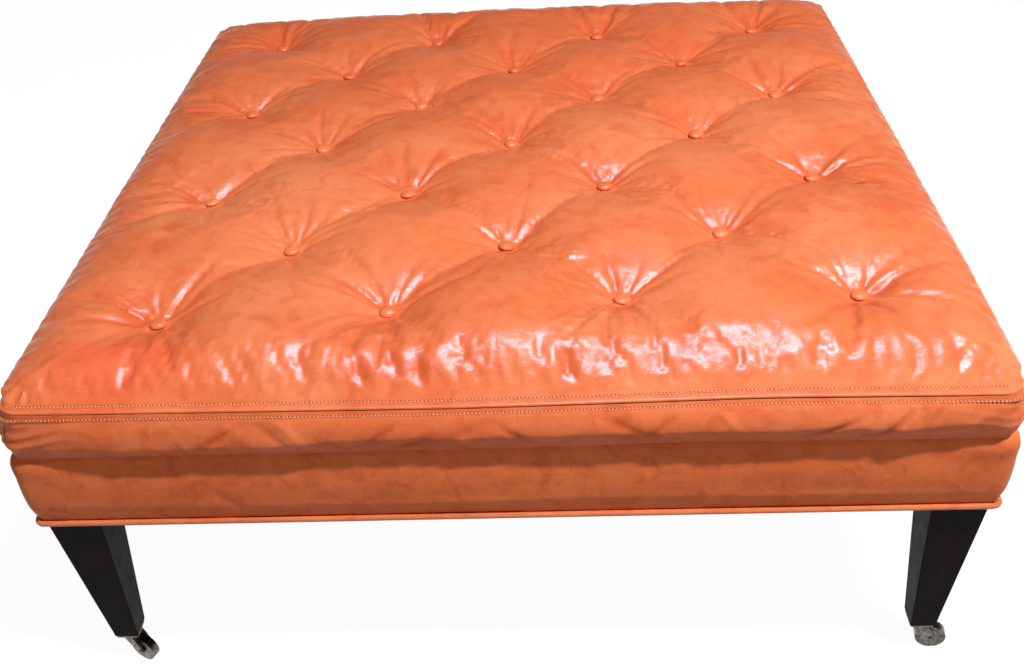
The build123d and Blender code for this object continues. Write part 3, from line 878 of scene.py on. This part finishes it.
def cordProfile(radius, flange, thickness, drop=0):
    # round cord with a flat flange towards the inside
    points, steps = [], 16
    gap = math.asin(thickness / 2 / radius)
    for step in range(steps + 1):
        angle = -math.pi + gap + (2 * math.pi - 2 * gap) * step / steps
        points.append((radius * math.cos(angle), radius * math.sin(angle)))
    points.append((-flange, thickness / 2 + drop))
    points.append((-flange, -thickness / 2 + drop))
    return points


def followSeam(path):
    for point in path:
        point.z += float(seamRise(point.x, point.y))
    return path


def widened(path):
    # the photo shows the base a little wider than the cushion, from side to side
    for point in path:
        point.x *= 1 + sidePadding / baseHalf
    return path


baseHalf, sidePadding = bandHigh.x, 0.0065
piping = {"radius": 0.0020, "spacing": 0.006, "wander": 0.0003, "flange": 0.007, "thickness": 0.0014,
          "seed": 31}
pipingPath = ringPath(pipingHalf, cushionCorner, seamLevel, piping["spacing"], piping["wander"],
                      piping["seed"])
pipingProfile = cordProfile(piping["radius"], piping["flange"], piping["thickness"])
topPiping = sweepRing(followSeam(pipingPath), pipingProfile, "topPiping")
dress(topPiping, cushionLeather, "table", ("top_piping",))

welt = {"radius": 0.0034, "lift": -0.0032, "spacing": 0.007, "wander": 0.0005, "corner": 0.0095,
        "flange": 0.012, "tape": 0.0014, "tapeLift": 0.0003, "seed": 47}
weltHalf = weltHigh.x - welt["radius"]
weltLevel = weltHigh.z - welt["radius"] + welt["lift"]
weltPath = ringPath(weltHalf, welt["corner"], weltLevel, welt["spacing"], welt["wander"], welt["seed"])
weltProfile = cordProfile(welt["radius"], welt["flange"], welt["tape"], welt["tapeLift"])
baseWelt = sweepRing(widened(weltPath), weltProfile, "baseWelt")
dress(baseWelt, weltLeather, "table", ("base_welt",))
print("corded seams ready")


# Leather sides of the cushion, sewn at the corners

boxing = {
    "corner": cushionCorner,  # at the piping, and at the foot
    "lowCorner": 0.012,
    "bulge": 0.0126,
    "bend": 0.48,             # share of the height where it stands out most
    "footOut": 0.0032,        # how far the foot and the top stand out
    "overhang": 0.0034,
    "under": 0.016,           # reach of the turned-under edge, and its share of the faces
    "underShare": 0.12,
    "stitchDrop": 0.0061,
    "thickness": 0.0014,
    "across": 260,            # faces
    "up": 30,
    "shadeAndWear": 160,              # share of painted shade and wear to a metre of wrinkle height
    "seed": 5,
}
wrinkles = {"count": 46, "place": (-0.53, 0.53), "level": (0.1, 0.75), "lean": (0.5, 2.2),
            "length": (0.012, 0.030), "width": (0.0035, 0.0075), "height": (-0.0025, 0.0020)}
# place along the front, level, lean and height of its longer pleats
longPleats = ((0.335, 0.42, 0.50, 0.0036), (0.395, 0.40, 1.1, 0.0034), (-0.30, 0.5, 0.6, 0.0024),
              (-0.13, 0.48, 0.8, 0.0022), (0.02, 0.45, -0.7, 0.0020), (0.16, 0.5, 0.9, 0.0020))
boxingTop = seamLevel - pipingRadius * 0.6
boxingHalf = bandHigh.x
boxingHeight = boxingTop - boxingFloor


def boxingSwell(share, along):
    # how far the side stands out between its bottom edge and the piping, less near the corners
    full = 1 - 0.6 * smoothStep(np.abs(along), 0.40, 0.53)
    full = full * (1 + 0.14 * smoothStep(along, -0.05, 0.2))
    bend = boxing["bend"] - 0.15 * smoothStep(-along, 0.1, 0.35)
    bend = bend + 0.06 * softNoise(along, share * 0, 0.09, 93)
    above = np.clip((share - bend) / (1 - bend), 0, 1)
    below = np.clip((bend - share) / bend, 0, 1)
    swell = full * boxing["bulge"] * (1 - above ** 1.8 - below ** 1.25)
    swell += boxing["overhang"] * share + boxing["footOut"] * (1 - share)
    drop = (1 - share) * boxingHeight + seamLevel - boxingTop
    return swell - 0.0009 * np.exp(-((drop - boxing["stitchDrop"]) / 0.0016) ** 2)


def sideWrinkles(along, share, side):
    source = random.Random(boxing["seed"] + side * 7)
    total = np.zeros_like(along)
    for _ in range(wrinkles["count"]):
        place, level = source.uniform(*wrinkles["place"]), source.uniform(*wrinkles["level"])
        lean = source.choice((-1, 1)) * source.uniform(*wrinkles["lean"])
        length, width = source.uniform(*wrinkles["length"]), source.uniform(*wrinkles["width"])
        height = source.uniform(*wrinkles["height"])
        total += height * crease(along - place, (share - level) * 0.058, lean, width, length)
    # gathered pleats beside the corner seams, strongest at the front left
    for end in (-1, 1):
        strong = 1.7 if (side, end) in ((0, -1), (3, 1)) else 0.8
        reach = (0.515 - along * end) / 0.05
        for number, tilt in enumerate((0.35, 0.55, 0.78)):
            ridge = share - tilt - 0.22 * np.clip(reach, 0, 1)
            pleat = np.exp(-(ridge / 0.060) ** 2 - np.clip(reach, 0, None) ** 2)
            total += strong * 0.0014 * pleat * (1 - number * 0.2)
    return total


def makeBoxing(side, name, node):
    deselectAll()
    bpy.ops.mesh.primitive_grid_add(x_subdivisions=boxing["across"], y_subdivisions=boxing["up"], size=2)
    panel = bpy.context.active_object
    panel.name = name
    activate(panel)
    points = readPoints(panel)
    climb = (points[:, 1] + 1) / 2
    under = np.clip(1 - climb / boxing["underShare"], 0, 1)
    share = np.clip((climb - boxing["underShare"]) / (1 - boxing["underShare"]), 0, 1)
    # the corners are rounder at the piping than at the foot
    corner = boxing["lowCorner"] + (boxing["corner"] - boxing["lowCorner"]) * smoothStep(share, 0.1, 0.9)
    along = points[:, 0] * (boxingHalf + corner * (math.pi / 4 - 1))
    fadeEnds = smoothStep(share, 0.0, 0.25) * (1 - smoothStep(share, 0.78, 0.87))
    wrinkle = sideWrinkles(along, share, side) * fadeEnds
    wrinkle += 0.0006 * softNoise(along, share * 0.06, 0.08, 60 + side) * fadeEnds
    out = boxingSwell(share, along) + wrinkle - under * boxing["under"]
    for place, level, lean, height in longPleats if side == 0 else ():
        pleat = height * crease((share - level) * boxingHeight, along - place, lean, 0.0036, 0.026)
        out = out - pleat * fadeEnds
        wrinkle = wrinkle - pleat * fadeEnds
    # round the corners: the last stretch follows a quarter circle as far as the seam
    past = np.clip(np.abs(along) - (boxingHalf - corner), 0, None)
    angle = past / corner
    inner = boxingHalf - corner
    radius = corner + out
    x = np.where(past > 0, np.sign(along) * (inner + radius * np.sin(angle)), along)
    y = np.where(past > 0, -(inner + radius * np.cos(angle)), -(boxingHalf + out))
    # the seam itself draws in
    draw = 0.0011 * np.exp(-((math.pi / 4 - angle) * corner / 0.0016) ** 2) * (past > 0)
    x -= np.sign(along) * draw * 0.7
    y += draw * 0.7
    heading = side * math.pi / 2
    points[:, 0] = x * math.cos(heading) - y * math.sin(heading)
    points[:, 1] = x * math.sin(heading) + y * math.cos(heading)
    points[:, 2] = boxingFloor + boxingHeight * share - 0.0004 * np.sin(np.pi * under) + 0.0004 * under
    points[:, 2] += seamRise(points[:, 0], points[:, 1]) * share
    # a stretch of the front's lower edge is drawn up a little
    points[:, 2] += 0.0028 * np.exp(-((along - 0.19) / 0.11) ** 2) * (1 - share) * (side == 0)
    writePoints(panel, points)
    # the wrinkle heights colour the leather: painted shade in the hollows, paler ridges as wear and painted
    # light
    markFoldWearAndShade(panel, 0.5 + wrinkle * boxing["shadeAndWear"])
    thicken(panel, boxing["thickness"])
    smoothShade(panel, 60)
    dress(panel, boxingLeather, "table", (node,))


for side, (name, node) in enumerate((("boxingFront", "boxing_front"), ("boxingRight", "boxing_right"),
                                     ("boxingRear", "boxing_rear"), ("boxingLeft", "boxing_left"))):
    makeBoxing(side, name, node)
print("boxing ready")


# Leather cover of the base

base = {
    "corner": 0.0095,
    "crown": 0.0050,          # how far the walls swell out
    "tuckedIn": 0.0026,       # how far they draw in above the welt
    "cornerPuff": 0.0024,
    "roll": 0.0040,           # radius of the top edge
    "flange": 0.016,          # reach of the leather in over the frame
    "skirt": 0.0036,          # how far it reaches below the band
    "thickness": 0.0014,
    "rows": 24,
    "seed": 14,
}
puckers = {"count": 60, "place": (-0.5, 0.5), "level": (0.1, 0.85), "lean": (-1.4, 1.4),
           "width": (0.003, 0.006), "length": (0.010, 0.035), "height": (-0.0017, 0.0010)}
baseFloor, baseTop = bandLow.z - base["skirt"], bandHigh.z


def baseCreases(along, share, side):
    # faint pulls and puckers where the leather is stretched over its padding
    source = random.Random(base["seed"])
    wallHeight = 0.094
    total = 0.0013 * softNoise(along + side * 3, share * wallHeight, 0.16, 77)
    total += 0.0007 * softNoise(along - side * 2, share * wallHeight, 0.05, 78)
    # a soft fold runs along above the welt
    reach = np.clip(0.5 + 1.5 * softNoise(along, along * 0 + side, 0.35, 79), 0, 1)
    total += 0.0010 * reach * np.exp(-((share - 0.24 - 0.03 * np.sin(along * 11 + side)) / 0.05) ** 2)
    for _ in range(puckers["count"]):
        place, which = source.uniform(*puckers["place"]), source.randrange(4)
        level, lean = source.uniform(*puckers["level"]), source.uniform(*puckers["lean"])
        width, length = source.uniform(*puckers["width"]), source.uniform(*puckers["length"])
        height = source.uniform(*puckers["height"])
        ridge = crease(along - place, (share - level) * wallHeight, lean, width, length)
        total += height * ridge * (side == which)
    return total * smoothStep(share, 0, 0.12) * (1 - smoothStep(np.abs(along), 0.505, 0.525))


def makeBaseCover():
    path = widened(ringPath(baseHalf, base["corner"], 0, 0.006, 0, 1))
    centre = np.array(path)
    ahead = np.roll(centre, -1, 0) - np.roll(centre, 1, 0)
    ahead /= np.linalg.norm(ahead, axis=1)[:, None]
    out = np.column_stack((ahead[:, 1], -ahead[:, 0], np.zeros(len(path))))
    frontOrRear = np.abs(centre[:, 1]) > np.abs(centre[:, 0])
    along = np.where(frontOrRear, centre[:, 0], centre[:, 1])
    side = np.where(frontOrRear, np.where(centre[:, 1] < 0, 0, 2), np.where(centre[:, 0] > 0, 1, 3))
    # up the wall, over the rolled top edge and in across the frame
    shares = list(np.linspace(0, 1 - base["roll"] / (baseTop - baseFloor), base["rows"]))
    profile = [(0, share, share) for share in shares]
    for step in range(1, 6):
        angle = math.pi / 2 * step / 5
        rise = 1 - base["roll"] * (1 - math.sin(angle)) / (baseTop - baseFloor)
        profile.append((-base["roll"] * (1 - math.cos(angle)), rise, 1))
    profile += [(-base["roll"] - base["flange"] * share, 1, 1) for share in (0.3, 0.65, 1)]
    rings = []
    for offset, level, share in profile:
        wall = base["crown"] * (1 - (2 * share - 1) ** 2) if offset == 0 else 0
        wall -= base["tuckedIn"] * (1 - min(share / 0.24, 1)) ** 1.05
        puff = base["cornerPuff"] * smoothStep(np.abs(along), 0.47, 0.525)
        puff = puff * math.exp(-((share - 0.86) / 0.12) ** 2)
        relief = baseCreases(along, np.full(len(path), share), side) + puff
        move = offset + wall + relief * (offset > -base["roll"])
        ring = centre + out * move[:, None]
        ring[:, 2] = baseFloor + (baseTop - baseFloor) * level
        rings.append(ring)
    verts = np.stack(rings, 1).reshape(-1, 3)
    count, rows = len(path), len(profile)
    faces = [(n * rows + r, (n + 1) % count * rows + r, (n + 1) % count * rows + r + 1, n * rows + r + 1)
             for n in range(count) for r in range(rows - 1)]
    cover = pieceFrom("baseCover", verts.tolist(), faces)
    faceOutwards(cover)
    thicken(cover, base["thickness"])
    smoothShade(cover, 60)
    dress(cover, baseLeather, "table", ("base_band", "base_padding"))


makeBaseCover()
print("base cover ready")


# Topstitching on both sides of the piping

stitching = {"pitch": 0.0040, "length": 0.0034, "radius": 0.00085, "sides": 6, "slant": 0.55, "wander": 0.07,
             "hole": 0.00075, "holeSides": 7, "seed": 3}


def stitchRow(path, name, tilt):
    deselectAll()
    bpy.ops.mesh.primitive_cylinder_add(vertices=stitching["sides"], radius=stitching["radius"],
                                        depth=stitching["length"], rotation=(0, math.pi / 2, 0))
    first = bpy.context.active_object
    bpy.ops.object.transform_apply(rotation=True)
    bpy.ops.object.mode_set(mode="EDIT")
    bpy.ops.mesh.select_all(action="SELECT")
    bpy.ops.mesh.bisect(plane_co=(0, 0, 0), plane_no=(1, 0, 0))
    bpy.ops.object.mode_set(mode="OBJECT")
    # both ends dive into the leather
    shape = readPoints(first)
    shape[:, 2] += stitching["radius"] * (0.7 - 1.4 * np.abs(shape[:, 0] / stitching["length"] * 2))
    writePoints(first, shape)
    # the needle hole at its end, a flattened dark ball that is painted shade in the hole
    deselectAll()
    bpy.ops.mesh.primitive_uv_sphere_add(segments=stitching["holeSides"], ring_count=4,
                                         radius=stitching["hole"],
                                         location=(stitching["pitch"] / 2, 0, 0.0001))
    hole = bpy.context.active_object
    hole.scale = (1, 1, 0.45)
    bpy.ops.object.transform_apply(location=True, scale=True)
    hole.data.materials.append(needleHoleShade)
    first.data.materials.append(stitchThread)
    first = joinPieces([first, hole], name)
    shape = readPoints(first)
    faces = [tuple(polygon.vertices) for polygon in first.data.polygons]
    kinds = [polygon.material_index for polygon in first.data.polygons]
    bpy.data.objects.remove(first)
    lengths = [0]
    for a, b in zip(path, path[1:] + path[:1]):
        lengths.append(lengths[-1] + (b - a).length)
    closed = path + path[:1]
    count = int(lengths[-1] / stitching["pitch"])
    verts, allFaces, allKinds, segment = [], [], [], 0
    source = random.Random(stitching["seed"])
    for number in range(count):
        at = lengths[-1] * number / count
        while lengths[segment + 1] < at:
            segment += 1
        a, b = closed[segment], closed[segment + 1]
        middle = a.lerp(b, (at - lengths[segment]) / max(lengths[segment + 1] - lengths[segment], 1e-9))
        ahead = (b - a).normalized()
        level = Vector((ahead.y, -ahead.x, 0)).normalized()
        up = level * math.cos(tilt) + Vector((0, 0, math.sin(tilt)))
        frameOfStitch = Matrix((ahead, up.cross(ahead), up)).transposed()
        turn = stitching["slant"] + source.uniform(-stitching["wander"], stitching["wander"])
        slant = Matrix.Rotation(turn, 3, "Z")
        start = len(verts)
        verts += [middle + frameOfStitch @ slant @ Vector(point) for point in shape]
        allFaces += [tuple(i + start for i in face) for face in faces]
        allKinds += kinds
    row = pieceFrom(name, [tuple(v) for v in verts], allFaces)
    row.data.materials.append(stitchThread)
    row.data.materials.append(needleHoleShade)
    row.data.polygons.foreach_set("material_index", allKinds)
    smoothShade(row, 50)
    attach(row, "table")


upperPath = followSeam(ringPath(spanHalf - tuft["stitchInset"], cushionCorner - tuft["stitchInset"],
                                seamLevel + tuft["stitchLevel"] - 0.0006, 0.006, 0, 1))
stitchRow(upperPath, "topStitching", math.radians(55))
stitchShare = 1 - (boxing["stitchDrop"] - (seamLevel - boxingTop)) / boxingHeight
lowerHalf = boxingHalf + float(boxingSwell(np.array([stitchShare]), np.array([0.2]))[0])
lowerPath = followSeam(ringPath(lowerHalf, boxing["corner"], seamLevel - boxing["stitchDrop"], 0.006, 0, 1))
stitchRow(lowerPath, "boxingStitching", math.radians(10))
print("stitching ready")


# Cloth under the frame, stapled to the rails and cut away round the legs

dustSheet = {"cells": 60, "thickness": 0.0008, "sag": 0.0045, "ripple": 0.0005, "legGap": 0.001}


def makeDustCover():
    half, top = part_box("dust_cover")[1].xz
    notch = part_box("leg_front_right")[0].x - dustSheet["legGap"]
    deselectAll()
    bpy.ops.mesh.primitive_grid_add(x_subdivisions=dustSheet["cells"], y_subdivisions=dustSheet["cells"],
                                    size=2 * half)
    cover = bpy.context.active_object
    cover.name = "dustCover"
    activate(cover)
    bpy.ops.object.mode_set(mode="EDIT")
    for heading in ((1, 0, 0), (0, 1, 0)):
        for end in (-1, 1):
            bpy.ops.mesh.select_all(action="SELECT")
            bpy.ops.mesh.bisect(plane_co=[c * notch * end for c in heading], plane_no=heading)
    bpy.ops.mesh.select_mode(type="FACE")
    bpy.ops.mesh.select_all(action="DESELECT")
    bpy.ops.object.mode_set(mode="OBJECT")
    for face in cover.data.polygons:
        face.select = min(abs(face.center.x), abs(face.center.y)) > notch
    bpy.ops.object.mode_set(mode="EDIT")
    bpy.ops.mesh.delete(type="FACE")
    bpy.ops.mesh.select_mode(type="VERT")
    bpy.ops.object.mode_set(mode="OBJECT")
    points = readPoints(cover)
    x, y = points[:, 0], points[:, 1]
    # it hangs a little between the rails, with faint pulls towards its edges
    loose = (1 - np.clip(np.abs(x) / notch, 0, 1) ** 2) * (1 - np.clip(np.abs(y) / notch, 0, 1) ** 2)
    pulls = softNoise(x, y, 0.05, 17) * smoothStep(half - np.maximum(np.abs(x), np.abs(y)), 0, 0.02)
    points[:, 2] = top - dustSheet["sag"] * loose ** 0.8 - dustSheet["ripple"] * (1 + pulls)
    writePoints(cover, points)
    thicken(cover, dustSheet["thickness"])
    smoothShade(cover, 40)
    dress(cover, dustCloth, "table", ("dust_cover",))


makeDustCover()
print("dust cover ready")


# Domed rivet heads at both ends of each caster's axle

rivet = {"radius": 0.0036, "height": 0.0015, "sunk": 0.15, "sides": 24, "rings": 12}


def makeRivets(corner):
    axle = readPoints(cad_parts["caster_axle_" + corner])
    fork = readPoints(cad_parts["caster_fork_" + corner])
    centre = (axle.min(axis=0) + axle.max(axis=0)) / 2
    spread = axle - centre
    # the axle's own direction is the one in which its points spread most
    heading = np.linalg.eigh(spread.T @ spread)[1][:, 2]
    nearAxle = np.linalg.norm(np.cross(fork - centre, heading), axis=1) < 2.5 * rivet["radius"]
    reach = max(np.abs(spread @ heading).max(), np.abs((fork[nearAxle] - centre) @ heading).max())
    heads = []
    for end in (-1, 1):
        deselectAll()
        bpy.ops.mesh.primitive_uv_sphere_add(segments=rivet["sides"], ring_count=rivet["rings"],
                                             radius=rivet["radius"])
        head = bpy.context.active_object
        points = readPoints(head)
        outwards = Vector(heading * end)
        turned = np.array(Vector((0, 0, 1)).rotation_difference(outwards).to_matrix())
        points[:, 2] = np.where(points[:, 2] > 0, points[:, 2] * rivet["height"] / rivet["radius"],
                                points[:, 2] * rivet["sunk"])
        writePoints(head, points @ turned.T + centre + heading * end * reach)
        heads.append(head)
    heads = joinPieces(heads, "axleRivets_" + corner)
    smoothShade(heads, 50)
    dress(heads, casterMetal, "caster_" + corner)


for corner in corners:
    makeRivets(corner)
print("caster rivets ready")


# Finishes of the frame's own pieces

def refinish(material, *nodes):
    for node in nodes:
        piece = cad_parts[node]
        for number in range(len(piece.material_slots)):
            piece.material_slots[number].material = material


refinish(frameWood, "rail_front", "rail_rear", "rail_left", "rail_right")
refinish(frameWood, "cross_rail_left", "cross_rail_right")
refinish(boardWood, "tuft_board")
refinish(plateSteel, "leg_plates")
refinish(casterMetal, "caster_plates", "caster_kingpins")
for corner in corners:
    refinish(frameWood, "corner_block_" + corner)
    refinish(legLacquer, "leg_" + corner)
    refinish(casterMetal, "caster_fork_" + corner, "caster_axle_" + corner)
    refinish(wheelMetal, "caster_wheel_" + corner)
print("finishes ready")


# Floor, light and camera

studio = {"floor": 40.0, "backdrop": (0.28, 0.28, 0.28), "paleShare": 0.70, "paleness": 1.365,
          "worldTone": (1, 0.84, 0.74), "worldStrength": 0.11}


def makeFloor():
    deselectAll()
    bpy.ops.mesh.primitive_plane_add(size=2 * studio["floor"], location=(0, 0, 0))
    floor = bpy.context.active_object
    floor.name = "floor"
    material, tree, shader, _ = startMaterial("paleFloor")
    shader.inputs["Base Color"].default_value = (*studio["backdrop"], 1)
    shader.inputs["Roughness"].default_value = 0.6
    # the camera and reflections see a paler floor, which still holds the shadow
    rays = tree.nodes.new("ShaderNodeLightPath").outputs
    seen = mathOn(tree, "MAXIMUM", rays["Is Camera Ray"], rays["Is Glossy Ray"])
    seen = mathOn(tree, "MAXIMUM", seen, rays["Is Transmission Ray"])
    glow = addNode(tree, "ShaderNodeEmission", in_Color=(1, 1, 1, 1), in_Strength=studio["paleness"])
    blend = tree.nodes.new("ShaderNodeMixShader")
    tree.links.new(mathOn(tree, "MULTIPLY", seen, studio["paleShare"]), blend.inputs[0])
    tree.links.new(shader.outputs[0], blend.inputs[1])
    tree.links.new(glow.outputs[0], blend.inputs[2])
    output = [node for node in tree.nodes if node.type == "OUTPUT_MATERIAL"][0]
    tree.links.new(blend.outputs[0], output.inputs[0])
    floor.data.materials.append(material)


def addLight(name, place, target, size, power, colour=(1, 1, 1), shown=(True, True)):
    deselectAll()
    bpy.ops.object.light_add(type="AREA", location=place)
    lamp = bpy.context.active_object
    lamp.name = name
    lamp.data.shape = "RECTANGLE"
    lamp.data.size, lamp.data.size_y = size
    lamp.data.energy = power
    lamp.data.color = colour
    lamp.visible_diffuse, lamp.visible_glossy = shown
    # the long side lies from left to right
    back = (Vector(place) - Vector(target)).normalized()
    side = (Vector((1, 0, 0)) - back * back.x).normalized()
    lamp.rotation_euler = Matrix((side, back.cross(side), back)).transposed().to_euler()


makeFloor()
# a cool strip that only gleams, and a white key that only lights
addLight("stripLight", (0.35, -0.30, 2.6), (0.35, -0.45, 0.4), (1.28, 0.17), 76, (0.84, 0.79, 1),
         shown=(False, True))
addLight("keyLight", (1.30, -1.25, 3.4), (0, -0.1, 0.4), (0.8, 0.12), 134, shown=(True, False))
addLight("frontLight", (0.3, -3.0, 2.0), (0, -0.4, 0.35), (1.8, 1.0), 12)

world = bpy.data.worlds.new("studio")
bpy.context.scene.world = world
world.use_nodes = True
background = world.node_tree.nodes["Background"]
background.inputs[0].default_value = (*studio["worldTone"], 1)
background.inputs[1].default_value = studio["worldStrength"]

view = {"place": (0.06935, -1.40686, seamLevel + 0.73888), "yaw": 0.06952, "pitch": 0.94165, "roll": -0.06945,
        "lens": 39.312, "shift": (0.01057, -0.0106)}
bpy.ops.object.camera_add(location=view["place"])
camera = bpy.context.active_object
camera.name = "photoCamera"
turned = (Matrix.Rotation(view["yaw"], 3, "Z") @ Matrix.Rotation(view["pitch"], 3, "X")
          @ Matrix.Rotation(view["roll"], 3, "Z"))
camera.rotation_euler = turned.to_euler()
camera.data.sensor_width = 36
camera.data.lens = view["lens"]
camera.data.shift_x, camera.data.shift_y = view["shift"]
bpy.context.scene.camera = camera
bpy.context.scene.view_settings.view_transform = "Standard"
